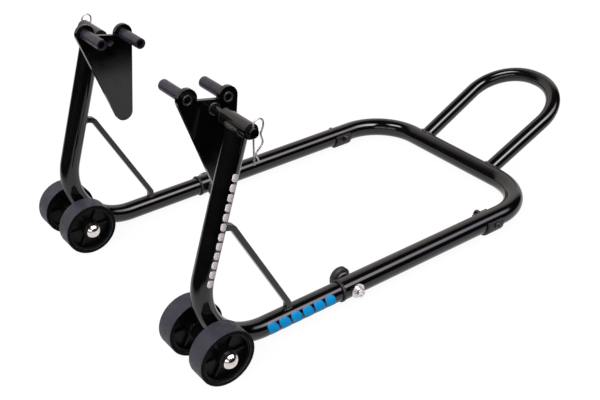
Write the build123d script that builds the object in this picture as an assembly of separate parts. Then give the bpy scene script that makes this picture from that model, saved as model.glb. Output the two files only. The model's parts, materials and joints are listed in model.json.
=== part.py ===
from build123d import *
import os
from math import asin, atan2, cos, degrees, radians, sin

# Front paddock stand: a U-shaped tube frame on the floor, two J-shaped legs with wheels at their bends,
# and an adaptor at the top of each leg whose two pins lift a motorcycle by the feet of its fork.
#
# Millimetres. X points to the rear (the handle), Y to the right as seen from behind, Z up.
# Everything is drawn with the wheels' axle above x = 0, and moved at the end so that the origin is on the
# floor below the centre of the stand's own box. Left is -Y. Right-hand pieces mirror the left-hand ones,
# so a "y" in the functions below is a distance to the left of the centre plane.

# ---- driving dimensions ----
LEG_Y = 187.0             # centre plane of the stand to the plane of a leg
LEG_OD, LEG_WALL = 28.6, 2.0
FRAME_OD, FRAME_WALL = 31.8, 1.5
HANDLE_OD, HANDLE_WALL = 25.4, 1.5

CROSSBAR_X = 635.0        # axle to the crossbar
RAIL_Z_FRONT = 15.2       # rail centre height below the axle
RAIL_Z_REAR = 20.4        # rail centre height at the crossbar
CORNER_R = 85.0           # rear corners, on the tube's centre line
JOINT_X = 218.0           # front end of the U-frame, where the leg goes in
LEG_INSERT = 80.0         # length of leg inside the U-frame
BOLT_X = 241.0            # joint bolt

LEG_CORNER_X = -36.0      # where the upright's and the rail's centre lines cross
LEG_BEND_R = 92.0
SPINDLE_X, SPINDLE_Z = 61.5, 326.0
UPRIGHT_STOP = 4.0        # the upright's end, below the spindle along its own slope

HANDLE_REACH = 223.0      # crossbar to the end of the loop, along the loop's slope
HANDLE_SLOPE = radians(25.3)
HANDLE_FOOT_Y, HANDLE_END_Y = 78.5, 85.4
HANDLE_R = 80.0

WHEEL_D, WHEEL_W = 80.0, 29.0
WHEEL_GAP = 22.5          # leg plane to the near face of either of its wheels
TYRE_THICK, TYRE_EDGE_R = 5.0, 1.2
RIM_THICK, RIM_INSET = 3.0, 3.0
WEB_T, BOSS_D = 5.0, 26.0
RIB_COUNT, RIB_T, RIB_W = 6, 3.0, 13.0
AXLE_D, SLEEVE_OD = 10.0, 22.0
AXLE_WASHER_D, AXLE_WASHER_T = 20.0, 1.5
CAP_D, CAP_RIM, CAP_H, CAP_BORE = 21.5, 6.0, 12.0, 7.0

SPINDLE_D = 12.0
SPINDLE_TUBE_OD, SPINDLE_TUBE_WALL, SPINDLE_TUBE_LEN = 20.0, 2.0, 52.0
SPINDLE_OVERHANG = 7.0    # spindle beyond the tube's outer end
BUSH_FLANGE_T = 1.5
PLATE_OUT_Y, PLATE_T = 135.5, 6.0
PLUG_RECESS = 2.0         # spindle and pin ends, inside the surfaces around them
LOBE_R, VALLEY_DROP = 13.5, 2.0
FRONT_HORN = (-36.0, 21.0)   # lobe centres of the adaptor plate, from the spindle: rearwards, up
REAR_HORN = (20.5, 10.0)
LOWER_TIP = (9.5, -107.0)
PIN_CORE_D, PIN_SLEEVE_D, PIN_REACH = 10.0, 15.0, 49.0

CLIP_WIRE_D = 2.2
CLIP_FROM_TUBE = 4.0      # clip's plane, beyond the spindle tube's outer end
CLIP_LOOP_R = 7.0
CLIP_TOP, CLIP_BOTTOM = 9.0, -41.5   # ends of the straight wire, from the spindle's axis

BRACE_SIDE, BRACE_BEND_R = 8.0, 8.0
BRACE_TOP_Z, BRACE_TOP_STUB = 199.0, 11.0     # the stubs are the straight ends beyond the tubes
BRACE_FOOT_X, BRACE_FOOT_STUB = 129.0, 9.0
PAD_THICK, PAD_LEN, PAD_X, PAD_RISE = 4.2, 31.0, 523.0, 6.5
PAD_BOLT_D, PAD_HOLE_D, PAD_BOLT_RISE = 6.0, 6.4, 1.5
PAD_SEAT = 20.4           # rail's centre line to the spot faces under the head and the nut
PAD_SPOT_D = 13.0
PAD_HEAD_D, PAD_HEAD_H = 11.0, 3.5
PAD_SOCKET_R, PAD_SOCKET_DEPTH = 2.3, 2.0
PAD_NUT_R, PAD_NUT_H, PAD_BOLT_END = 5.77, 6.0, 1.5

BOLT_D, BOLT_HEAD_D, BOLT_HEAD_H = 8.0, 13.0, 8.0
SOCKET_R, SOCKET_DEPTH = 3.46, 4.0
BOLT_REACH = 8.5          # bolt inside the knob
BOLT_WASHER_D, BOLT_WASHER_T = 22.0, 1.6
KNOB_D, KNOB_H, KNOB_EDGE = 33.0, 9.0, 2.0   # its radius is a little less than the bolt's height
KNOB_NECK_D, KNOB_NECK_H = 22.0, 3.0
INSERT_D, INSERT_H = 14.0, 9.5
FLUTE_COUNT, FLUTE_R, FLUTE_DEPTH = 8, 6.0, 1.2

# ---- fits ----
RUN = 0.05                # radial clearance of a running fit
BOLT_HOLE_D = 8.5

# ---- derived places ----
RAIL_SLOPE = (RAIL_Z_REAR - RAIL_Z_FRONT) / CROSSBAR_X
AXLE = (0.0, WHEEL_D / 2)
SPINDLE = (SPINDLE_X, SPINDLE_Z)
BOLT = (BOLT_X, RAIL_Z_FRONT + RAIL_SLOPE * BOLT_X)
OUTER_WHEEL_Y = LEG_Y + WHEEL_GAP + WHEEL_W / 2
INNER_WHEEL_Y = LEG_Y - WHEEL_GAP - WHEEL_W / 2
TUBE_OUT_Y = LEG_Y + SPINDLE_TUBE_LEN / 2
TUBE_IN_Y = LEG_Y - SPINDLE_TUBE_LEN / 2
CLIP_Y = TUBE_OUT_Y + CLIP_FROM_TUBE
PLATE_IN_Y = PLATE_OUT_Y - PLATE_T
CLAMP_OUT_Y = LEG_Y + FRAME_OD / 2
CLAMP_IN_Y = LEG_Y - FRAME_OD / 2
KNOB_Y = CLAMP_IN_Y - BOLT_WASHER_T

HANDLE_END_X = CROSSBAR_X + HANDLE_REACH * cos(HANDLE_SLOPE) + HANDLE_OD / 2
CENTRE_X = (HANDLE_END_X - WHEEL_D / 2) / 2


def rail_z(x):
    """Height of a side rail's centre line."""
    return RAIL_Z_FRONT + RAIL_SLOPE * x


PAD_BOLT = (PAD_X, rail_z(PAD_X) + PAD_BOLT_RISE)

UPRIGHT_LEAN = atan2(SPINDLE_X - LEG_CORNER_X, SPINDLE_Z - rail_z(LEG_CORNER_X))


# ---- helpers ----
def across(place, y_from, y_to, diameter):
    """A rod along Y through (x, z) = place, between two distances left of the centre plane."""
    rod = Rot(90, 0, 0) * Cylinder(diameter / 2, abs(y_to - y_from))
    return Pos(place[0], -(y_from + y_to) / 2, place[1]) * rod


def across_tube(place, y_from, y_to, diameter, hole):
    return across(place, y_from, y_to, diameter) - across(place, y_from, y_to, hole)


def lathe(face, place, y_base, facing=1):
    """Turn a face drawn as (radius, height) about Y. Height runs left, or right if facing is -1."""
    turned = revolve(face, Axis.Y)
    if facing == 1:
        turned = Rot(180, 0, 0) * turned
    return Pos(place[0], -y_base, place[1]) * turned


def outline(*points):
    return make_face(Polyline(*points, close=True))


def swept_round(path, diameter):
    """A solid round bar along a path."""
    return sweep(Plane(origin=path @ 0, z_dir=path % 0) * Circle(diameter / 2), path=path)


def swept_tube(path, diameter, wall):
    return swept_round(path, diameter) - swept_round(path, diameter - 2 * wall)


def round_edges(solid, diameter, radius):
    """Round the circular edges of one diameter."""
    circles = solid.edges().filter_by(GeomType.CIRCLE)
    return fillet([c for c in circles if abs(c.radius - diameter / 2) < 0.01], radius)


# ---- frame ----
def u_path():
    corner = (CROSSBAR_X, LEG_Y, RAIL_Z_REAR)
    front = (JOINT_X, LEG_Y, rail_z(JOINT_X))
    points = [front, corner, (corner[0], -LEG_Y, corner[2]), (front[0], -LEG_Y, front[2])]
    return FilletPolyline(*points, radius=CORNER_R)


def u_frame():
    tube = swept_tube(u_path(), FRAME_OD, FRAME_WALL)
    for place, hole in ((BOLT, BOLT_HOLE_D), (PAD_BOLT, PAD_HOLE_D)):
        tube -= across(place, -LEG_Y - FRAME_OD, LEG_Y + FRAME_OD, hole)
    return tube


def handle_loop():
    end_x = CROSSBAR_X + HANDLE_REACH * cos(HANDLE_SLOPE)
    end_z = RAIL_Z_REAR + HANDLE_REACH * sin(HANDLE_SLOPE)
    points = [(CROSSBAR_X, HANDLE_FOOT_Y, RAIL_Z_REAR), (end_x, HANDLE_END_Y, end_z),
              (end_x, -HANDLE_END_Y, end_z), (CROSSBAR_X, -HANDLE_FOOT_Y, RAIL_Z_REAR)]
    loop = swept_tube(FilletPolyline(*points, radius=HANDLE_R), HANDLE_OD, HANDLE_WALL)
    crossbar = across((CROSSBAR_X, RAIL_Z_REAR), -LEG_Y, LEG_Y, FRAME_OD)
    return loop - crossbar


# ---- leg and what is welded to it ----
def leg_path():
    insert_x = JOINT_X + LEG_INSERT
    top_x = SPINDLE_X - UPRIGHT_STOP * sin(UPRIGHT_LEAN)
    top = (top_x, -LEG_Y, SPINDLE_Z - UPRIGHT_STOP * cos(UPRIGHT_LEAN))
    corner = (LEG_CORNER_X, -LEG_Y, rail_z(LEG_CORNER_X))
    return FilletPolyline((insert_x, -LEG_Y, rail_z(insert_x)), corner, top, radius=LEG_BEND_R)


def leg():
    """The tube is notched for the spindle tube and the axle sleeve, and drilled for the joint bolt."""
    tube = swept_tube(leg_path(), LEG_OD, LEG_WALL)
    tube -= across(SPINDLE, TUBE_IN_Y, TUBE_OUT_Y, SPINDLE_TUBE_OD)
    tube -= across(AXLE, LEG_Y - WHEEL_GAP, LEG_Y + WHEEL_GAP, SLEEVE_OD)
    return tube - across(BOLT, CLAMP_IN_Y, CLAMP_OUT_Y, BOLT_HOLE_D)


def brace():
    """A square bar whose two ends are bent to meet the tubes squarely."""
    out = (cos(UPRIGHT_LEAN), -sin(UPRIGHT_LEAN))
    start_x = LEG_CORNER_X + (BRACE_TOP_Z - rail_z(LEG_CORNER_X)) * sin(UPRIGHT_LEAN) / cos(UPRIGHT_LEAN)
    reach = LEG_OD / 2 + BRACE_TOP_STUB
    foot_z = rail_z(BRACE_FOOT_X)
    points = [(start_x, -LEG_Y, BRACE_TOP_Z),
              (start_x + reach * out[0], -LEG_Y, BRACE_TOP_Z + reach * out[1]),
              (BRACE_FOOT_X, -LEG_Y, foot_z + LEG_OD / 2 + BRACE_FOOT_STUB),
              (BRACE_FOOT_X, -LEG_Y, foot_z)]
    path = FilletPolyline(*points, radius=BRACE_BEND_R)
    section = Plane(origin=path @ 0, x_dir=(0, 1, 0), z_dir=path % 0) * Rectangle(BRACE_SIDE, BRACE_SIDE)
    return sweep(section, path=path) - swept_round(leg_path(), LEG_OD)


def spindle_tube():
    bore = SPINDLE_TUBE_OD - 2 * SPINDLE_TUBE_WALL
    return across_tube(SPINDLE, TUBE_IN_Y, TUBE_OUT_Y, SPINDLE_TUBE_OD, bore)


def axle_sleeve():
    half = WHEEL_GAP - AXLE_WASHER_T - 0.2
    return across_tube(AXLE, LEG_Y - half, LEG_Y + half, SLEEVE_OD, AXLE_D)


def foot_pad():
    """A rubber saddle under the side rail, flat where it stands on the floor."""
    start_x = PAD_X - PAD_LEN / 2
    start = (start_x, -LEG_Y, rail_z(start_x))
    section_plane = Plane(origin=start, x_dir=(0, 1, 0), z_dir=(1, 0, RAIL_SLOPE))
    outer_r = FRAME_OD / 2 + PAD_THICK
    above = Pos(0, PAD_RISE + outer_r) * Rectangle(4 * outer_r, 2 * outer_r)
    section = Circle(outer_r) - Circle(FRAME_OD / 2) - above
    saddle = extrude(section_plane * section, PAD_LEN)
    floor = Pos(PAD_X, -LEG_Y, -5) * Box(2 * PAD_LEN, 4 * outer_r, 10)
    saddle -= floor
    saddle -= across(PAD_BOLT, LEG_Y - outer_r, LEG_Y + outer_r, PAD_HOLE_D)
    saddle -= across(PAD_BOLT, LEG_Y + PAD_SEAT, LEG_Y + 2 * outer_r, PAD_SPOT_D)
    return saddle - across(PAD_BOLT, LEG_Y - 2 * outer_r, LEG_Y - PAD_SEAT, PAD_SPOT_D)


def pad_bolt():
    """Button-headed bolt through the saddle and the rail, its head on the outer side."""
    seat = LEG_Y + PAD_SEAT
    head_end = seat + PAD_HEAD_H
    shank = across(PAD_BOLT, LEG_Y - PAD_SEAT - PAD_NUT_H - PAD_BOLT_END, seat, PAD_BOLT_D)
    head = across(PAD_BOLT, seat, head_end, PAD_HEAD_D)
    mouth = Plane(origin=(PAD_BOLT[0], -head_end, PAD_BOLT[1]), x_dir=(1, 0, 0), z_dir=(0, 1, 0))
    socket = extrude(mouth * RegularPolygon(PAD_SOCKET_R, 6), PAD_SOCKET_DEPTH)
    crown = head.edges().filter_by(GeomType.CIRCLE).sort_by(Axis.Y)[0]
    return shank + fillet(crown, 2.5) - socket


def pad_nut():
    seat = Plane(origin=(PAD_BOLT[0], PAD_SEAT - LEG_Y, PAD_BOLT[1]), x_dir=(1, 0, 0), z_dir=(0, 1, 0))
    nut = extrude(seat * RegularPolygon(PAD_NUT_R, 6), PAD_NUT_H)
    return nut - across(PAD_BOLT, LEG_Y - PAD_SEAT - 2 * PAD_NUT_H, LEG_Y, PAD_BOLT_D + 2 * RUN)


# ---- wheels ----
def wheel_hub(wheel_y):
    """Moulded hub: boss, web with radial ribs on both sides, and rim."""
    boss_r, bore_r = BOSS_D / 2, AXLE_D / 2 + RUN
    rim_out = WHEEL_D / 2 - TYRE_THICK
    rim_in, half, rim_half, web_half = rim_out - RIM_THICK, WHEEL_W / 2, WHEEL_W / 2 - RIM_INSET, WEB_T / 2
    face = outline((bore_r, -half), (boss_r, -half), (boss_r, -web_half), (rim_in, -web_half),
                   (rim_in, -rim_half), (rim_out, -rim_half), (rim_out, rim_half), (rim_in, rim_half),
                   (rim_in, web_half), (boss_r, web_half), (boss_r, half), (bore_r, half))
    hub = revolve(face, Axis.Y)
    rib_len = rim_in - boss_r + 2
    for turn in range(RIB_COUNT):
        rib = Pos((rim_in + boss_r) / 2, 0, 0) * Box(rib_len, RIB_W, RIB_T)
        hub += Rot(0, turn * 360 / RIB_COUNT, 0) * rib
    return Pos(AXLE[0], -wheel_y, AXLE[1]) * hub


def tyre(wheel_y):
    half = WHEEL_W / 2
    ring = across_tube(AXLE, wheel_y - half, wheel_y + half, WHEEL_D, WHEEL_D - 2 * TYRE_THICK)
    return round_edges(ring, WHEEL_D, TYRE_EDGE_R)


def axle_ends():
    """Distances left of the centre plane where the axle's two caps sit."""
    reach = WHEEL_GAP + WHEEL_W + 0.3
    return LEG_Y - reach, LEG_Y + reach


def axle_rod():
    inner, outer = axle_ends()
    grip = CAP_BORE - 0.5
    return across(AXLE, inner - grip, outer + grip, AXLE_D)


def axle_cap(y_base, facing):
    """Push-on cap: a domed disc with a blind bore."""
    r, bore, rise = CAP_D / 2, AXLE_D / 2, CAP_H - CAP_RIM
    sphere_r = (r * r + rise * rise) / (2 * rise)
    half_turn = asin(r / sphere_r) / 2
    shoulder = (sphere_r * sin(half_turn), CAP_H - sphere_r * (1 - cos(half_turn)))
    dome = ThreePointArc((r, CAP_RIM), shoulder, (0, CAP_H))
    sides = Polyline((0, CAP_H), (0, CAP_BORE), (bore, CAP_BORE), (bore, 0), (r, 0), (r, CAP_RIM))
    return lathe(make_face([dome, *sides.edges()]), AXLE, y_base, facing)


def left_axle_caps():
    inner, outer = axle_ends()
    return [axle_cap(inner, -1), axle_cap(outer, 1)]


def left_axle_washers():
    """One between the sleeve and each wheel."""
    washers = []
    for side in (-1, 1):
        near = LEG_Y + side * (WHEEL_GAP - AXLE_WASHER_T - 0.1)
        far = LEG_Y + side * (WHEEL_GAP - 0.1)
        washers.append(across_tube(AXLE, near, far, AXLE_WASHER_D, AXLE_D))
    return washers


# ---- fork adaptor ----
def spindle_bush():
    """Flanged plastic liner of the spindle tube."""
    bore = SPINDLE_TUBE_OD - 2 * SPINDLE_TUBE_WALL
    liner = across(SPINDLE, TUBE_IN_Y, TUBE_OUT_Y, bore - 2 * RUN)
    flange = across(SPINDLE, TUBE_IN_Y - BUSH_FLANGE_T, TUBE_IN_Y, SPINDLE_TUBE_OD)
    return liner + flange - across(SPINDLE, TUBE_IN_Y - BUSH_FLANGE_T, TUBE_OUT_Y, SPINDLE_D + 2 * RUN)


def spindle():
    rod = across(SPINDLE, PLATE_IN_Y + PLUG_RECESS, TUBE_OUT_Y + SPINDLE_OVERHANG, SPINDLE_D)
    cross_hole = Pos(SPINDLE_X, -CLIP_Y, SPINDLE_Z) * Cylinder(CLIP_WIRE_D / 2 + RUN, 2 * SPINDLE_D)
    return rod - cross_hole


def horn_place(horn):
    return SPINDLE_X + horn[0], SPINDLE_Z + horn[1]


def adaptor_plate():
    """Three round lobes joined by straight sides, with a flat valley between the two horns."""
    lobes = [Pos(*centre) * Circle(LOBE_R) for centre in (FRONT_HORN, REAR_HORN, LOWER_TIP)]
    blank = make_hull(lobes[0].edges() + lobes[1].edges() + lobes[2].edges())
    span = Vector(*REAR_HORN) - Vector(*FRONT_HORN)
    tilt = degrees(atan2(span.Y, span.X))
    middle = (Vector(*FRONT_HORN) + Vector(*REAR_HORN)) / 2
    valley = Pos(middle.X, middle.Y) * Rot(0, 0, tilt) * Pos(0, LOBE_R - VALLEY_DROP)
    profile = blank - valley * Rectangle(span.length, 2 * LOBE_R) + lobes[0] + lobes[1]
    on_spindle = Plane(origin=(SPINDLE_X, -PLATE_IN_Y, SPINDLE_Z), x_dir=(1, 0, 0), z_dir=(0, -1, 0))
    plate = extrude(on_spindle * profile, PLATE_T)
    plate -= across(SPINDLE, PLATE_IN_Y, PLATE_OUT_Y, SPINDLE_D)
    for horn in (FRONT_HORN, REAR_HORN):
        plate -= across(horn_place(horn), PLATE_IN_Y, PLATE_OUT_Y, PIN_CORE_D)
    return plate


def cradle_pins():
    tip = PLATE_IN_Y - PIN_REACH + PLUG_RECESS
    return [across(horn_place(horn), tip, PLATE_OUT_Y, PIN_CORE_D) for horn in (FRONT_HORN, REAR_HORN)]


def pin_sleeves():
    tip = PLATE_IN_Y - PIN_REACH
    return [across_tube(horn_place(horn), tip, PLATE_IN_Y, PIN_SLEEVE_D, PIN_CORE_D)
            for horn in (FRONT_HORN, REAR_HORN)]


def r_clip():
    """A straight wire through the spindle, a loop above it and a waved wire that springs back."""
    def at(right, up):
        return (SPINDLE_X + right, -CLIP_Y, SPINDLE_Z + up)

    straight = Line(at(0, CLIP_BOTTOM), at(0, CLIP_TOP))
    loop_end = 2 * CLIP_LOOP_R
    loop = ThreePointArc(at(0, CLIP_TOP), at(CLIP_LOOP_R, CLIP_TOP + CLIP_LOOP_R), at(loop_end, CLIP_TOP))
    wave = Spline(at(loop_end, CLIP_TOP), at(10.2, -4.5), at(12.6, -15.5), at(3.4, -26.5), at(7.0, -38.0),
                  tangents=[(0, 0, -1), (0.45, 0, -1)])
    return swept_round(Wire([straight, loop, wave]), CLIP_WIRE_D)


# ---- leg joint ----
def frame_bolt():
    """Socket cap bolt, its head on the outer side."""
    seat = CLAMP_OUT_Y + BOLT_WASHER_T
    head_end = seat + BOLT_HEAD_H
    shank = across(BOLT, KNOB_Y - BOLT_REACH, seat, BOLT_D)
    head = across(BOLT, seat, head_end, BOLT_HEAD_D)
    mouth = Plane(origin=(BOLT[0], -head_end, BOLT[1]), x_dir=(1, 0, 0), z_dir=(0, 1, 0))
    socket = extrude(mouth * RegularPolygon(SOCKET_R, 6), SOCKET_DEPTH)
    return shank + round_edges(head, BOLT_HEAD_D, 1.0) - socket


def bolt_washer(y_near):
    return across_tube(BOLT, y_near, y_near + BOLT_WASHER_T, BOLT_WASHER_D, BOLT_D + 2 * RUN)


def knob():
    """Fluted round knob with a neck, bored for its metal insert."""
    neck, edge, top = KNOB_NECK_D / 2, KNOB_D / 2, KNOB_NECK_H + KNOB_H
    face = outline((INSERT_D / 2, 0), (neck, 0), (neck, KNOB_NECK_H), (edge - KNOB_EDGE, KNOB_NECK_H),
                   (edge, KNOB_NECK_H + KNOB_EDGE), (edge, top - KNOB_EDGE), (edge - KNOB_EDGE, top),
                   (0, top), (0, INSERT_H), (INSERT_D / 2, INSERT_H))
    body = lathe(face, BOLT, KNOB_Y, -1)
    centre_r = edge + FLUTE_R - FLUTE_DEPTH
    for turn in range(FLUTE_COUNT):
        angle = radians(turn * 360 / FLUTE_COUNT)
        place = (BOLT[0] + centre_r * cos(angle), BOLT[1] + centre_r * sin(angle))
        body -= across(place, KNOB_Y - KNOB_NECK_H, KNOB_Y - top, 2 * FLUTE_R)
    return body


def knob_insert():
    return across_tube(BOLT, KNOB_Y - INSERT_H, KNOB_Y, INSERT_D, BOLT_D + 2 * RUN)


# ---- every node ----
def mirrored(shape):
    return mirror(shape, about=Plane.XZ)


def group(solids):
    return Compound(children=[part for solid in solids for part in solid.solids()])


def both_sides(solids):
    return group(solids + [mirrored(solid) for solid in solids])


LEFT_PIECES = {
    "leg": leg(),
    "brace": brace(),
    "spindle_tube": spindle_tube(),
    "axle_sleeve": axle_sleeve(),
    "axle_rod": axle_rod(),
    "foot_pad": foot_pad(),
    "outer_hub": wheel_hub(OUTER_WHEEL_Y),
    "inner_hub": wheel_hub(INNER_WHEEL_Y),
    "outer_tyre": tyre(OUTER_WHEEL_Y),
    "inner_tyre": tyre(INNER_WHEEL_Y),
    "spindle_bush": spindle_bush(),
    "spindle": spindle(),
    "adaptor_plate": adaptor_plate(),
    "cradle_pins": group(cradle_pins()),
    "pin_sleeves": group(pin_sleeves()),
    "r_clip": r_clip(),
    "knob": knob(),
    "knob_insert": knob_insert(),
    "knob_washer": bolt_washer(KNOB_Y),
}

NODES = {
    "u_frame": u_frame(),
    "handle_loop": handle_loop(),
    "axle_caps": both_sides(left_axle_caps()),
    "axle_washers": both_sides(left_axle_washers()),
    "frame_bolts": both_sides([frame_bolt()]),
    "bolt_washers": both_sides([bolt_washer(CLAMP_OUT_Y)]),
    "pad_bolts": both_sides([pad_bolt()]),
    "pad_nuts": both_sides([pad_nut()]),
}
for piece_name, piece in LEFT_PIECES.items():
    NODES["left_" + piece_name] = piece
    NODES["right_" + piece_name] = mirrored(piece)

os.makedirs("parts", exist_ok=True)
for node_name, shape in NODES.items():
    export_step(Pos(-CENTRE_X, 0, 0) * shape, "parts/" + node_name + ".step")
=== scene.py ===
import json
from math import atan2, cos, floor, hypot, pi, radians, sin, sqrt

import bmesh
import bpy
from mathutils import Matrix, Vector


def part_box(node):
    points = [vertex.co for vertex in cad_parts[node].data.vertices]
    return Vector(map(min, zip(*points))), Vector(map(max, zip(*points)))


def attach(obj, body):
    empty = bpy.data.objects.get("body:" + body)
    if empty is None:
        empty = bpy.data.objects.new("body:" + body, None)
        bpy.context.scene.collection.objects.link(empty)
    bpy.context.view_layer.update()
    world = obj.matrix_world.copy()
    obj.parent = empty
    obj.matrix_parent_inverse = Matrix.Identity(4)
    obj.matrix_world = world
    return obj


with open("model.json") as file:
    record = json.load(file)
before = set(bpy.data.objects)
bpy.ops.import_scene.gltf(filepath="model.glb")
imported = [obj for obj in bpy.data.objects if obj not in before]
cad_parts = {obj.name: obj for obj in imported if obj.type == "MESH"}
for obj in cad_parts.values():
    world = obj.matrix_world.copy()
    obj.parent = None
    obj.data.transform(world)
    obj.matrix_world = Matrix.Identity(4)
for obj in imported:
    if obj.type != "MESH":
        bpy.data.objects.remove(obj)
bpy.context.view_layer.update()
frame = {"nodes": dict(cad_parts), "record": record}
nodes = frame["nodes"]
MM = 0.001


# ---------------------------------------------------------------- places, from the frame
# Everything is worked out for the left-hand side, which is at negative Y, and mirrored for the right.
SIDES = (("left", -1), ("right", 1))
ACROSS = Vector((0, 1, 0))


def middle(node):
    low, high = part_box(node)
    return (low + high) / 2


def half_size(node):
    low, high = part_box(node)
    return (high - low) / 2


FRAME_LOW, FRAME_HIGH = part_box("u_frame")
PLATE_OUT, PLATE_IN = (corner.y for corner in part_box("left_adaptor_plate"))
PINS_LOW, PINS_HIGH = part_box("left_pin_sleeves")

LEG_Y = middle("left_leg").y
LEG_R = half_size("left_leg").y
FRAME_R = LEG_Y - FRAME_LOW.y
AXLE = middle("left_axle_rod")
SPINDLE = middle("left_spindle")
SPINDLE_R = half_size("left_spindle").z
TUBE_R = half_size("left_spindle_tube").z
SLEEVE_R = half_size("left_axle_sleeve").z
JOINT_X = FRAME_LOW.x                             # where the leg goes into the frame tube
CROSSBAR_X = FRAME_HIGH.x - FRAME_R
CROSSBAR_Z = FRAME_HIGH.z - FRAME_R
RAIL_SLOPE = 5.2 / 635                            # the rail's rise over its length
PIN_SLEEVE_R = 7.5 * MM
HORNS = {                                         # x and z of the plate's two pins
    "front": (PINS_LOW.x + PIN_SLEEVE_R, PINS_HIGH.z - PIN_SLEEVE_R),
    "rear": (PINS_HIGH.x - PIN_SLEEVE_R, PINS_LOW.z + PIN_SLEEVE_R),
}


def rail_z(x):
    return CROSSBAR_Z + (x - CROSSBAR_X) * RAIL_SLOPE


def on_rail(x):
    return Vector((x, LEG_Y, rail_z(x)))


LEG_CORNER = on_rail(AXLE.x - 36 * MM)            # where the centre lines of upright and rail cross
SPINDLE_AT = Vector((SPINDLE.x, LEG_Y, SPINDLE.z))
UP = (SPINDLE_AT - LEG_CORNER).normalized()       # along the upright
RAIL = Vector((1, 0, RAIL_SLOPE)).normalized()    # along the rail
BEND_R = 92 * MM                                  # the leg's bend, at its centre line
BRACE = 8 * MM                                    # the brace's square bar
BRACE_TOP_Z = 199 * MM

HANDLE_R = 12.9 * MM
HANDLE_SLOPE = radians(25.3)
HANDLE_REACH = 223 * MM
HANDLE_FOOT_Y, HANDLE_END_Y = 78.5 * MM, 85.4 * MM

RIPPLE_STEPS, BEAD_SIDES = 5, 10                  # rings in a weld ripple, and points in a ring


def on_upright(z):
    return LEG_CORNER + UP * ((z - LEG_CORNER.z) / UP.z)


# ---------------------------------------------------------------- mesh helpers
def new_object(name, bm, body, material):
    """Turns a mesh under construction into a smooth piece that rides on a body."""
    mesh = bpy.data.meshes.new(name)
    bmesh.ops.recalc_face_normals(bm, faces=bm.faces)
    bm.to_mesh(mesh)
    bm.free()
    piece = bpy.data.objects.new(name, mesh)
    bpy.context.scene.collection.objects.link(piece)
    mesh.materials.append(material)
    for face in mesh.polygons:
        face.use_smooth = True
    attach(piece, body)
    return piece


def flip(points, side):
    """The points of a left-hand piece, mirrored for the right-hand one."""
    return [Vector((p[0], p[1] * -side, p[2])) for p in points]


def angles(count):
    """Even steps round a full turn."""
    return [2 * pi * i / count for i in range(count)]


def rings_to_mesh(rings, closed):
    """Joins rings of points, each with the same number, into a closed loop or a string with capped ends."""
    bm = bmesh.new()
    grid = [[bm.verts.new(p) for p in ring] for ring in rings]
    count = len(grid[0])
    following = grid[1:] + grid[:1] if closed else grid[1:]
    for a, b in zip(grid, following):
        for i in range(count):
            j = (i + 1) % count
            bm.faces.new((a[i], a[j], b[j], b[i]))
    if not closed:
        bm.faces.new(grid[0])
        bm.faces.new(grid[-1])
    return bm


def resample(points, step, closed):
    """Points at even distances along a polyline."""
    pts = points + points[:1] if closed else points
    lengths = [0.0]
    for a, b in zip(pts, pts[1:]):
        lengths.append(lengths[-1] + (b - a).length)
    count = max(8, int(lengths[-1] / step))
    out, k = [], 0
    for i in range(count if closed else count + 1):
        distance = lengths[-1] * i / count
        while k < len(pts) - 2 and lengths[k + 1] < distance:
            k += 1
        span = lengths[k + 1] - lengths[k]
        t = 0 if span < 1e-12 else (distance - lengths[k]) / span
        out.append(pts[k].lerp(pts[k + 1], t))
    return out


def wobble(i, seed):
    """A repeatable value between -1 and 1."""
    v = sin(i * 12.9898 + seed * 78.233) * 43758.5453
    return 2 * (v - floor(v)) - 1


def bead(name, points, radius, body, seed, closed=True, pitch=2.4 * MM):
    """A weld bead: a rounded string of overlapping ripples. An open one tapers at its ends."""
    path = resample(points, pitch / RIPPLE_STEPS, closed)
    last = len(path) - 1
    rings, normal = [], None
    for i, p in enumerate(path):
        after = path[(i + 1) % len(path)] if closed else path[min(i + 1, last)]
        before = path[i - 1] if closed or i else path[0]
        along = (after - before).normalized()
        if normal is None:
            normal = along.orthogonal().normalized()
        normal = (normal - along * normal.dot(along)).normalized()
        other = along.cross(normal)
        phase = (i / RIPPLE_STEPS) % 1.0
        dome = sqrt(max(0.0, 1 - (2 * phase - 1) ** 2))
        size = radius * (0.92 + 0.16 * dome + 0.07 * wobble(i // RIPPLE_STEPS, seed))
        if not closed:
            size *= min(1.0, 0.35 + 0.65 * min(i, last - i) / 4)
        rings.append([p + (normal * cos(a) + other * sin(a)) * size for a in angles(BEAD_SIDES)])
    return new_object(name, rings_to_mesh(rings, closed), body, MAT["weld"])


def onto_tube(start, along, main_at, main_dir, main_r):
    """The farthest point along a line that is on a tube's surface, or the nearest approach if it misses."""
    rel = start - main_at
    rel -= main_dir * rel.dot(main_dir)
    way = along - main_dir * along.dot(main_dir)
    a, b, c = way.dot(way), rel.dot(way), rel.dot(rel) - main_r ** 2
    t = (-b + sqrt(max(0.0, b * b - a * c))) / a
    return start + along * t


def saddle(foot, along, branch_r, main_dir, main_r):
    """The line where a round branch, running from foot on a main tube's axis, leaves that tube's surface."""
    along = along.normalized()
    u = main_dir.cross(along).normalized()
    w = along.cross(u)
    rim = [foot + (u * cos(a) + w * sin(a)) * branch_r for a in angles(72)]
    return [onto_tube(p, along, foot, main_dir, main_r) for p in rim]


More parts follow.
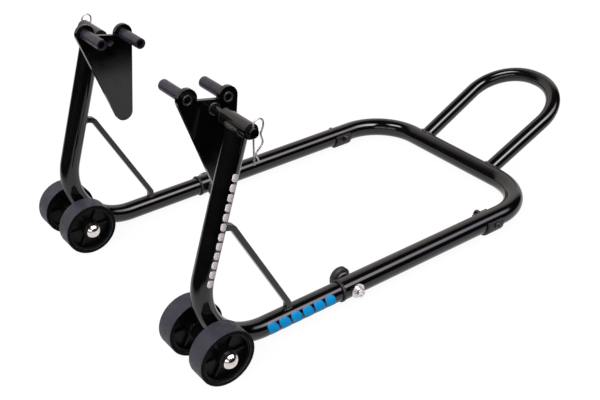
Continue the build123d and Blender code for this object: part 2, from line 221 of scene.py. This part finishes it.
# ---------------------------------------------------------------- material helpers
class Graph:
    """Short calls for building a node tree."""

    def __init__(self, tree):
        self.tree = tree

    def node(self, kind, **inputs):
        made = self.tree.nodes.new(kind)
        for key, value in inputs.items():
            made.inputs[key.replace("_", " ")].default_value = value
        return made

    def link(self, a, b):
        self.tree.links.new(a, b)

    def feed(self, value, socket):
        """Connects an output, or sets a plain number."""
        if isinstance(value, (int, float)):
            socket.default_value = value
        else:
            self.link(value, socket)

    def math(self, operation, a, b=0.0):
        made = self.tree.nodes.new("ShaderNodeMath")
        made.operation = operation
        self.feed(a, made.inputs[0])
        self.feed(b, made.inputs[1])
        return made.outputs[0]

    def dot(self, vector, way):
        made = self.tree.nodes.new("ShaderNodeVectorMath")
        made.operation = "DOT_PRODUCT"
        self.link(vector, made.inputs[0])
        made.inputs[1].default_value = way
        return made.outputs["Value"]

    def add(self, a, b):
        """The sum of two colours."""
        made = self.tree.nodes.new("ShaderNodeMix")
        made.data_type = "RGBA"
        made.blend_type = "ADD"
        made.inputs[0].default_value = 1.0
        self.link(a, made.inputs[6])
        self.link(b, made.inputs[7])
        return made.outputs[2]

    def ramp(self, value, at, low=0.0, high=1.0):
        """A smooth step between two places, at[0] and at[1]."""
        made = self.tree.nodes.new("ShaderNodeMapRange")
        made.interpolation_type = "SMOOTHSTEP"
        made.inputs["From Min"].default_value, made.inputs["From Max"].default_value = at
        made.inputs["To Min"].default_value, made.inputs["To Max"].default_value = low, high
        self.link(value, made.inputs["Value"])
        return made.outputs["Result"]

    def blend(self, factor, a, b):
        """Mixes two colours, each an output or a plain triple."""
        made = self.tree.nodes.new("ShaderNodeMix")
        made.data_type = "RGBA"
        for colour, socket in ((a, made.inputs[6]), (b, made.inputs[7])):
            if isinstance(colour, tuple):
                socket.default_value = (*colour, 1)
            else:
                self.link(colour, socket)
        self.feed(factor, made.inputs[0])
        return made.outputs[2]


class Surface(Graph):
    """A procedural material: colour and roughness that vary, and bumps at more than one scale."""

    def __init__(self, name, base, roughness, metallic=0.0, specular=0.5):
        self.material = bpy.data.materials.new(name)
        self.material.use_nodes = True
        super().__init__(self.material.node_tree)
        self.shader = self.tree.nodes["Principled BSDF"]
        self.shader.inputs["Base Color"].default_value = (*base, 1)
        self.shader.inputs["Roughness"].default_value = roughness
        self.shader.inputs["Metallic"].default_value = metallic
        self.shader.inputs["Specular IOR Level"].default_value = specular
        self.base = base
        self.coords = self.tree.nodes.new("ShaderNodeTexCoord")
        self.height = None

    def noise(self, scale, detail=3.0, rough=0.5, stretch=(1, 1, 1)):
        mapping = self.node("ShaderNodeMapping")
        mapping.inputs["Scale"].default_value = stretch
        self.link(self.coords.outputs["Object"], mapping.inputs["Vector"])
        made = self.node("ShaderNodeTexNoise", Scale=scale, Detail=detail, Roughness=rough)
        self.link(mapping.outputs["Vector"], made.inputs["Vector"])
        return made.outputs["Fac"]

    def spread(self, factor, low, high, at=(0.35, 0.65)):
        """A straight ramp from low to high, between two values of the factor."""
        made = self.tree.nodes.new("ShaderNodeMapRange")
        made.inputs["From Min"].default_value, made.inputs["From Max"].default_value = at
        made.inputs["To Min"].default_value, made.inputs["To Max"].default_value = low, high
        self.link(factor, made.inputs["Value"])
        return made.outputs["Result"]

    def vary_colour(self, factor, other, at=(0.35, 0.65)):
        """Blends the colour so far towards another one as the factor rises."""
        socket = self.shader.inputs["Base Color"]
        before = socket.links[0].from_socket if socket.is_linked else self.base
        self.link(self.blend(self.spread(factor, 0.0, 1.0, at), before, other), socket)

    def vary_roughness(self, factor, low, high):
        self.link(self.spread(factor, low, high), self.shader.inputs["Roughness"])

    def bump(self, factor, distance, strength):
        """Adds a bump on top of those before it."""
        made = self.node("ShaderNodeBump", Strength=strength, Distance=distance)
        self.link(factor, made.inputs["Height"])
        if self.height is not None:
            self.link(self.height, made.inputs["Normal"])
        self.height = made.outputs["Normal"]
        self.link(self.height, self.shader.inputs["Normal"])


def gloss_black(name, seed):
    """Thick gloss powder coat: nearly black, a faint orange peel and a few duller patches."""
    s = Surface(name, (0.0016, 0.0016, 0.0018), 0.10, specular=0.56)
    s.vary_colour(s.noise(23 + seed, 4.0), (0.0032, 0.0030, 0.0032))
    s.vary_roughness(s.noise(61 + seed, 5.0, 0.6), 0.06, 0.13)
    s.bump(s.noise(420, 2.0), 0.00002, 0.30)
    s.bump(s.noise(70, 2.0), 0.0001, 0.12)
    return s.material


def weld_black():
    s = Surface("weld_under_paint", (0.006, 0.006, 0.006), 0.22, specular=0.7)
    s.vary_colour(s.noise(300, 3.0), (0.014, 0.013, 0.014))
    s.vary_roughness(s.noise(220, 4.0), 0.14, 0.30)
    s.bump(s.noise(900, 3.0), 0.0001, 0.5)
    return s.material


def moulded(name, base, other, roughness, grain=1500.0, depth=0.00004, specular=0.42):
    """Moulded plastic or rubber: fine grain over a slightly uneven colour."""
    s = Surface(name, base, roughness, specular=specular)
    s.vary_colour(s.noise(70, 4.0), other)
    s.vary_roughness(s.noise(130, 4.0, 0.6), roughness - 0.07, roughness + 0.08)
    s.bump(s.noise(grain, 2.0), depth, 0.5)
    s.bump(s.noise(140, 3.0), depth * 2.5, 0.2)
    return s.material


def plated(name, base, roughness, spangle=240.0):
    """Bright zinc or polished plating, with faint cloudiness and handling marks."""
    s = Surface(name, base, roughness, metallic=1.0)
    s.vary_colour(s.noise(spangle, 3.0), tuple(c * 0.82 for c in base))
    s.vary_roughness(s.noise(spangle * 1.7, 4.0, 0.65), roughness * 0.7, roughness * 1.5)
    s.bump(s.noise(spangle * 5, 2.0), 0.00002, 0.3)
    return s.material


def turned(name, base, roughness, ring_scale=2600.0):
    """Turned steel: fine rings round the part's own axis, which is Y."""
    s = Surface(name, base, roughness, metallic=1.0)
    rings = s.noise(ring_scale, 2.0, 0.5, (0.02, 1.0, 0.02))
    s.vary_colour(s.noise(180, 4.0), tuple(c * 0.7 for c in base))
    s.vary_roughness(rings, roughness * 0.7, roughness * 1.4)
    s.bump(rings, 0.00003, 0.4)
    return s.material


def tread_rubber():
    """Solid rubber tread, dry and slightly bloomed, with faint scuffs running round it, and painted shade on
    its flat faces.
    """
    s = Surface("tread_rubber", (0.023, 0.023, 0.034), 0.55, specular=0.35)
    s.vary_colour(s.noise(46, 5.0, 0.6), (0.032, 0.031, 0.043))
    scuffs = s.noise(1500, 3.0, 0.6, (0.08, 1.0, 0.08))
    s.vary_colour(scuffs, (0.046, 0.044, 0.054), (0.58, 0.85))
    s.vary_roughness(s.noise(160, 4.0), 0.44, 0.66)
    # Painted shade: the flat faces, square to the axle, are painted nearly black and given less specular,
    # standing in for the shade they sit in.
    facing = s.math("ABSOLUTE", s.dot(s.coords.outputs["Normal"], (0, 1, 0)))
    s.vary_colour(facing, (0.0015, 0.0015, 0.002), (0.40, 0.85))
    s.link(s.spread(facing, 0.35, 0.06, (0.40, 0.85)), s.shader.inputs["Specular IOR Level"])
    s.bump(scuffs, 0.00006, 0.35)
    s.bump(s.noise(1900, 2.0), 0.00004, 0.5)
    return s.material


def film(name, base, other):
    """Printed vinyl film: flat ink with a satin face and slight unevenness."""
    s = Surface(name, base, 0.45, specular=0.25)
    s.vary_colour(s.noise(210, 4.0), other)
    s.vary_roughness(s.noise(330, 3.0), 0.38, 0.55)
    s.bump(s.noise(700, 2.0), 0.00002, 0.3)
    return s.material


MAT = {
    "frame_paint": gloss_black("frame_powder_coat", 0),
    "leg_paint": gloss_black("leg_powder_coat", 3),
    "weld": weld_black(),
    "zinc_steel": plated("bright_zinc", (0.84, 0.82, 0.84), 0.26),
    "bare_steel": turned("satin_steel", (0.50, 0.50, 0.52), 0.34),
    "chrome": plated("polished_cap", (0.95, 0.87, 0.84), 0.17, 150.0),
    "spring_steel": plated("bright_wire", (0.86, 0.84, 0.84), 0.34, 500.0),
    "brass": turned("turned_brass", (0.62, 0.44, 0.20), 0.30),
    # The hub plastic is black, and its colour is set darker still as painted shade for the hub's recess and
    # its ribs.
    "hub_plastic": moulded("hub_plastic", (0.0010, 0.0013, 0.0013), (0.002, 0.0024, 0.0024), 0.42,
                           specular=0.16),
    "tread": tread_rubber(),
    "knob_plastic": moulded("knob_plastic", (0.018, 0.018, 0.020), (0.028, 0.028, 0.030), 0.48, 1200.0,
                            0.00006),
    "pad_rubber": moulded("pad_rubber", (0.012, 0.012, 0.013), (0.022, 0.022, 0.023), 0.55),
    "sleeve_rubber": moulded("sleeve_rubber", (0.016, 0.014, 0.024), (0.026, 0.023, 0.035), 0.33, 900.0,
                             0.00003),
    "bush_nylon": moulded("bush_nylon", (0.006, 0.006, 0.0065), (0.012, 0.012, 0.012), 0.42),
    "stripe_blue": film("stripe_blue", (0.0, 0.30, 0.70), (0.0, 0.34, 0.76)),
    "stripe_grey": film("stripe_grey", (0.78, 0.73, 0.73), (0.88, 0.82, 0.82)),
}

slot_of = {row["node"]: row["material_slot"] for row in frame["record"]["subparts"]}
for name, node in nodes.items():
    node.data.materials.clear()
    node.data.materials.append(MAT[slot_of[name]])


# ---------------------------------------------------------------- welds
def upright_welds(side, prefix):
    """Round the upright's rim, dropping under the spindle tube at its two sides, with a fill on each side."""
    ahead = ACROSS.cross(UP)
    rim_drop, rim_r, fill_r = 4 * MM, LEG_R - 0.8 * MM, TUBE_R + 0.9 * MM
    rim = []
    for a in angles(96):
        p = SPINDLE_AT - UP * rim_drop + (ahead * cos(a) + ACROSS * sin(a)) * rim_r
        over = abs((p - SPINDLE_AT).dot(ahead))
        if over < TUBE_R:
            p -= UP * max(0.0, sqrt(TUBE_R ** 2 - over ** 2) - rim_drop)
        rim.append(p)
    bead(prefix + "_weld_spindle_tube", flip(rim, side), 1.7 * MM, "stand", 3)
    for k, way in enumerate((-1, 1)):
        at = SPINDLE_AT + ahead * way * fill_r - UP * 3.4 * MM
        fill = [at + ACROSS * LEG_R * t * 0.86 for t in (-1, -0.5, 0, 0.5, 1)]
        bead(prefix + "_weld_tube_fill_%d" % k, flip(fill, side), 2.6 * MM, "stand", 7 + k, closed=False,
             pitch=3.2 * MM)


def sleeve_weld(side, prefix):
    """Where the axle sleeve sits in the outside of the leg's bend, as one loop over the sleeve."""
    turn = atan2(UP.z, UP.x)
    half = (turn - atan2(RAIL.z, RAIL.x)) / 2
    inward = Vector((cos(turn - half), 0, sin(turn - half)))
    bend_centre = LEG_CORNER + inward * (BEND_R / sin(half))
    axle = Vector((AXLE.x, LEG_Y, AXLE.z))
    seam = []                                     # angle round the axle, point on the axis plane, half width
    for a in angles(240):
        p = axle + Vector((cos(a), 0, sin(a))) * (SLEEVE_R + 0.2 * MM)
        gap = hypot(p.x - bend_centre.x, p.z - bend_centre.z) - BEND_R
        if abs(gap) < LEG_R:
            seam.append((a, p, Vector((0, sqrt(LEG_R ** 2 - gap ** 2), 0))))
    mean = atan2(sum(sin(a) for a, _, _ in seam), sum(cos(a) for a, _, _ in seam))
    seam.sort(key=lambda row: (row[0] - mean + 3 * pi) % (2 * pi))
    loop = [p + width for _, p, width in seam] + [p - width for _, p, width in reversed(seam)]
    bead(prefix + "_weld_sleeve", flip(loop, side), 1.5 * MM, "stand", 11)


def square_bead(name, foot, along, main_dir, side, seed):
    """A bead round the brace's square bar, where it meets the leg's tube squarely."""
    h, steps, edge = BRACE / 2 + 0.3 * MM, 6, []
    corners = [(-h, -h), (h, -h), (h, h), (-h, h)]
    for (a0, b0), (a1, b1) in zip(corners, corners[1:] + corners[:1]):
        for t in range(steps):
            a, b = a0 + (a1 - a0) * t / steps, b0 + (b1 - b0) * t / steps
            edge.append(onto_tube(foot + main_dir * a + ACROSS * b, along, foot, main_dir, LEG_R))
    bead(name, flip(edge, side), 1.15 * MM, "stand", seed, pitch=1.9 * MM)


def brace_welds(side, prefix):
    foot = on_rail(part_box("left_brace")[1].x - BRACE / 2)
    square_bead(prefix + "_weld_brace_foot", foot, Vector((0, 0, 1)), RAIL, side, 13)
    square_bead(prefix + "_weld_brace_top", on_upright(BRACE_TOP_Z), Vector((UP.z, 0, -UP.x)), UP, side, 17)


def handle_weld(side, prefix):
    """Round one foot of the handle loop, on the crossbar."""
    foot = Vector((CROSSBAR_X, side * HANDLE_FOOT_Y, CROSSBAR_Z))
    rise = Vector((HANDLE_REACH * cos(HANDLE_SLOPE), 0, HANDLE_REACH * sin(HANDLE_SLOPE)))
    spread = Vector((0, side * (HANDLE_END_Y - HANDLE_FOOT_Y), 0))
    points = saddle(foot, rise + spread, HANDLE_R, ACROSS, FRAME_R)
    bead("handle_weld_" + prefix, points, 1.9 * MM, "stand", 23 + side, pitch=2.8 * MM)


def ring_points(x, y, z, radius):
    return [Vector((x + radius * cos(a), y, z + radius * sin(a))) for a in angles(48)]


def plug(name, x, y, z, radius, height, side, body, seed):
    """A lumpy disc of weld metal that fills a round recess in the plate's inner face."""
    turns, steps, sunk = 28, 6, 0.6 * MM
    bm = bmesh.new()
    centre = bm.verts.new((x, (y + height) * -side, z))
    last = None
    for s in range(1, steps + 1):
        r = radius * s / steps
        lift = height * (1 - (s / steps) ** 2)
        ring = []
        for t, a in enumerate(angles(turns)):
            lump = 0.10 * height * wobble(t * 3 + s * 11, seed) + 0.18 * height * sin(3 * a + s * 1.7)
            if s == steps:
                lump = 0
            ring.append(bm.verts.new((x + r * cos(a), (y + lift + lump) * -side, z + r * sin(a))))
        for t in range(turns):
            n = (t + 1) % turns
            if last is None:
                bm.faces.new((centre, ring[t], ring[n]))
            else:
                bm.faces.new((last[t], ring[t], ring[n], last[n]))
        last = ring
    base = [bm.verts.new((v.co.x, (y - sunk) * -side, v.co.z)) for v in last]
    for t in range(turns):
        n = (t + 1) % turns
        bm.faces.new((last[t], base[t], base[n], last[n]))
    bm.faces.new(base)
    return new_object(name, bm, body, MAT["weld"])


def adaptor_welds(side, prefix):
    body = prefix + " adaptor"
    ring = ring_points(SPINDLE.x, PLATE_OUT - 0.4 * MM, SPINDLE.z, SPINDLE_R + 0.7 * MM)
    bead(prefix + "_weld_spindle", flip(ring, side), 1.6 * MM, body, 31)
    plug(prefix + "_weld_plug", SPINDLE.x, PLATE_IN - 2.0 * MM, SPINDLE.z, SPINDLE_R - 0.1 * MM, 1.5 * MM,
         side, body, 5)
    for k, (name, (x, z)) in enumerate(HORNS.items()):
        ring = ring_points(x, PLATE_OUT - 0.2 * MM, z, 5.6 * MM)
        bead(prefix + "_weld_" + name + "_pin", flip(ring, side), 1.25 * MM, body, 37 + k, pitch=2.0 * MM)


for prefix, side in SIDES:
    upright_welds(side, prefix)
    sleeve_weld(side, prefix)
    brace_welds(side, prefix)
    adaptor_welds(side, prefix)
for prefix, side in SIDES:
    handle_weld(side, prefix)


# ---------------------------------------------------------------- tube ends and stripes
# the lip's outline, in mm: along the rail from the frame tube's end, and out from its inner wall
LIP = [(-0.6, 0.4), (-0.9, 1.1), (-0.7, 1.7), (0.2, 2.0), (2.2, 1.95), (2.9, 1.7), (3.1, 1.2), (3.0, 0.6),
       (-0.4, 0.2)]
LIP_WALL = 1.1 * MM                               # the frame tube's wall, at the lip


def end_ring(side, prefix):
    """The rolled lip round the front end of the frame tube, where the leg goes in."""
    at, other = on_rail(JOINT_X), RAIL.cross(ACROSS)
    rings = []
    for a in angles(64):
        out = ACROSS * cos(a) + other * sin(a)
        outline = [at + RAIL * s * MM + out * (FRAME_R - LIP_WALL + r * MM) for s, r in LIP]
        rings.append(flip(outline, side))
    return new_object(prefix + "_tube_end_ring", rings_to_mesh(rings, True), "stand", MAT["pad_rubber"])


FILM_OVER, FILM_UNDER = 0.16 * MM, -0.05 * MM     # the film's two faces, from the tube's surface


def stripe(name, start, along, facing, side, material, bars, bar, gap, half_width, slant):
    """Plain slanted bars printed one after another along the leg: a generic stripe with rounded corners.

    bar and gap are lengths along the leg, and slant is how far a bar leans along it for its width."""
    facing = (facing - along * facing.dot(along)).normalized()
    sideways = along.cross(facing)
    columns, rows, corner = 14, 12, min(bar, 2 * half_width) * 0.3
    bm = bmesh.new()
    for k in range(bars):
        top, under = [], []
        for i in range(columns + 1):
            s = bar * i / columns
            near = min(s, bar - s)
            inset = corner - sqrt(max(0.0, corner ** 2 - (corner - near) ** 2)) if near < corner else 0.0
            for lift, lines in ((FILM_OVER, top), (FILM_UNDER, under)):
                line = []
                for j in range(rows + 1):
                    v = (2 * j / rows - 1) * (half_width - inset)
                    out = facing * cos(v / LEG_R) + sideways * sin(v / LEG_R)
                    base = start + along * (k * (bar + gap) + s + slant * v)
                    line.append(base + out * (LEG_R + lift))
                lines.append([bm.verts.new(p) for p in flip(line, side)])
        for i in range(columns):
            for j in range(rows):
                bm.faces.new((top[i][j], top[i + 1][j], top[i + 1][j + 1], top[i][j + 1]))
                bm.faces.new((under[i][j], under[i][j + 1], under[i + 1][j + 1], under[i + 1][j]))
            bm.faces.new((top[i][0], under[i][0], under[i + 1][0], top[i + 1][0]))
            bm.faces.new((top[i][rows], top[i + 1][rows], under[i + 1][rows], under[i][rows]))
        for j in range(rows):
            bm.faces.new((top[0][j], top[0][j + 1], under[0][j + 1], under[0][j]))
            bm.faces.new((top[columns][j], under[columns][j], under[columns][j + 1], top[columns][j + 1]))
    return new_object(name, bm, "stand", MAT[material])


for prefix, side in SIDES:
    end_ring(side, prefix)
    stripe(prefix + "_rail_stripe", on_rail(AXLE.x + 89 * MM), RAIL, Vector((0, -1, 0.02)), side,
           "stripe_blue", bars=6, bar=16.2 * MM, gap=3.4 * MM, half_width=10.4 * MM, slant=0.28)
    stripe(prefix + "_upright_stripe", on_upright(127 * MM), UP, Vector((0.22, -1, 0)), side,
           "stripe_grey", bars=12, bar=10.2 * MM, gap=2.6 * MM, half_width=5.2 * MM, slant=-0.22)


# ---------------------------------------------------------------- softened edges on the carried-over nodes
for prefix, side in SIDES:
    bevel = nodes[prefix + "_foot_pad"].modifiers.new("soft_edges", "BEVEL")
    bevel.width = 1.0 * MM
    bevel.segments = 2
    bevel.limit_method = "ANGLE"
    bevel.angle_limit = radians(40)


# ---------------------------------------------------------------- stage, light and camera
FLOOR_GLOW, FLOOR_SHADE = 0.93, 0.09              # how much of the seen floor glows, and takes shadows
FLOOR_IN_GLOSS, FLOOR_ON_MATT = 0.82, 0.10        # how bright it is in reflections, and for matt surfaces
FLOOR_SIZE, FLOOR_DROP = 14, 0.2 * MM

AZIMUTH, ELEVATION = radians(-37.24), radians(30.87)
CAMERA_AT = Vector((-0.8740, -1.0040, 0.8029))
LENS, SENSOR = 56.0, 36.0
SHIFT_X, SHIFT_Y = -0.0010, 0.0016


def stage_floor():
    """A pale floor. Only its part under and behind the stand shows in gloss paint, as on a small table."""
    bm = bmesh.new()
    bmesh.ops.create_grid(bm, x_segments=2, y_segments=2, size=FLOOR_SIZE)
    mesh = bpy.data.meshes.new("floor")
    bm.to_mesh(mesh)
    bm.free()
    obj = bpy.data.objects.new("floor", mesh)
    bpy.context.scene.collection.objects.link(obj)
    s = Surface("studio_floor", (0.90, 0.90, 0.90), 0.8, specular=0.05)
    s.vary_colour(s.noise(2, 2.0), (0.915, 0.912, 0.91))
    place = s.node("ShaderNodeNewGeometry").outputs["Position"]
    along, sideways = s.dot(place, (1, 0, 0)), s.dot(place, (0, 1, 0))
    near = s.ramp(sideways, (-0.56, -0.44))
    near = s.math("MULTIPLY", near, s.ramp(along, (-0.78, -0.56)))
    near = s.math("MULTIPLY", near, s.ramp(along, (0.95, 1.3), 1.0, 0.0))
    ray = s.tree.nodes.new("ShaderNodeLightPath").outputs
    shine = s.math("MULTIPLY", s.math("MULTIPLY", near, FLOOR_IN_GLOSS), ray["Is Glossy Ray"])
    shine = s.math("ADD", shine, s.math("MULTIPLY", ray["Is Camera Ray"], FLOOR_GLOW))
    shine = s.math("ADD", shine, s.math("MULTIPLY", ray["Is Diffuse Ray"], FLOOR_ON_MATT))
    glow = s.node("ShaderNodeEmission")
    glow.inputs["Color"].default_value = (1.0, 1.0, 1.0, 1)
    s.link(shine, glow.inputs["Strength"])
    shaded = s.node("ShaderNodeMixShader")
    s.link(s.math("MULTIPLY", ray["Is Camera Ray"], FLOOR_SHADE), shaded.inputs[0])
    s.link(s.shader.outputs[0], shaded.inputs[2])
    whole = s.node("ShaderNodeAddShader")
    s.link(glow.outputs[0], whole.inputs[0])
    s.link(shaded.outputs[0], whole.inputs[1])
    s.link(whole.outputs[0], s.tree.nodes["Material Output"].inputs["Surface"])
    mesh.materials.append(s.material)
    obj.location.z = -FLOOR_DROP


def softbox(sky, ray, way, long_way, half_long, half_wide, edge, colours):
    """A rectangle of light in the sky, seen only in reflections. Its colour changes along its length."""
    centre = Vector(way).normalized()
    side = (Vector(long_way) - centre * Vector(long_way).dot(centre)).normalized()
    ahead = sky.dot(ray, centre)
    u = sky.math("DIVIDE", sky.dot(ray, side), ahead)
    v = sky.math("DIVIDE", sky.dot(ray, centre.cross(side)), ahead)
    mask = sky.ramp(ahead, (0.05, 0.10))
    for value, half in ((u, half_long), (v, half_wide)):
        inside = sky.ramp(sky.math("ABSOLUTE", value), (half - edge, half + edge), 1.0, 0.0)
        mask = sky.math("MULTIPLY", mask, inside)
    colour = sky.blend(sky.ramp(u, (-half_long, half_long)), *colours)
    return sky.blend(mask, (0.0, 0.0, 0.0), colour)


def studio():
    """White to the camera. Gloss surfaces see a dark room with a pale backdrop behind and softboxes above;
    matt ones are lit from above, and more from the left."""
    world = bpy.data.worlds.new("studio")
    bpy.context.scene.world = world
    world.use_nodes = True
    sky = Graph(world.node_tree)
    ray = sky.node("ShaderNodeTexCoord").outputs["Generated"]
    up = sky.dot(ray, (0, 0, 1))
    behind = sky.ramp(sky.dot(ray, (0.35, 0.94, 0)), (0.36, 0.60))
    low = sky.ramp(up, (0.74, 0.90), 1.0, 0.0)
    backdrop = sky.blend(sky.math("MULTIPLY", behind, low), (0.004, 0.004, 0.004), (0.90, 0.83, 0.80))
    strip = softbox(sky, ray, way=(0.30, -0.57, 0.765), long_way=(0.55, 0.10, -0.18), half_long=0.62,
                    half_wide=0.21, edge=0.09, colours=((13.0, 12.4, 13.0), (2.6, 2.3, 2.8)))
    spot = softbox(sky, ray, way=(-0.49, 0.10, 0.87), long_way=(0.0, 1.0, 0.0), half_long=0.22,
                   half_wide=0.13, edge=0.06, colours=((9.0, 8.8, 9.0), (11.0, 10.6, 11.0)))
    flank = softbox(sky, ray, way=(-0.80, -0.52, 0.30), long_way=(-0.5, 0.8, 0.0), half_long=0.55,
                    half_wide=0.17, edge=0.08, colours=((1.9, 1.75, 1.7), (1.9, 1.75, 1.7)))
    gloss = sky.add(sky.add(backdrop, strip), sky.add(spot, flank))
    overhead = sky.ramp(sky.dot(ray, Vector((-0.30, 0.30, 0.90)).normalized()), (-0.15, 0.80))
    above = sky.blend(overhead, (0.28, 0.28, 0.32), (0.98, 0.96, 1.12))
    left = sky.ramp(sky.dot(ray, Vector((-0.93, -0.30, 0.2)).normalized()), (0.45, 0.92))
    matt = sky.blend(left, above, (3.6, 3.35, 3.2))
    path = sky.node("ShaderNodeLightPath").outputs
    seen = sky.blend(path["Is Glossy Ray"], matt, gloss)
    seen = sky.blend(path["Is Camera Ray"], seen, (1.0, 1.0, 1.0))
    background = world.node_tree.nodes["Background"]
    sky.link(seen, background.inputs["Color"])
    background.inputs["Strength"].default_value = 1.0


def camera():
    back = Vector((sin(AZIMUTH) * cos(ELEVATION), -cos(AZIMUTH) * cos(ELEVATION), sin(ELEVATION)))
    right = Vector((cos(AZIMUTH), sin(AZIMUTH), 0))
    turn = Matrix((right, back.cross(right), back)).transposed().to_4x4()
    data = bpy.data.cameras.new("camera")
    data.lens = LENS
    data.sensor_width = SENSOR
    data.shift_x = SHIFT_X
    data.shift_y = SHIFT_Y
    obj = bpy.data.objects.new("camera", data)
    bpy.context.scene.collection.objects.link(obj)
    obj.matrix_world = Matrix.Translation(CAMERA_AT) @ turn
    bpy.context.scene.camera = obj


stage_floor()
studio()
camera()
bpy.context.scene.view_settings.view_transform = "Standard"
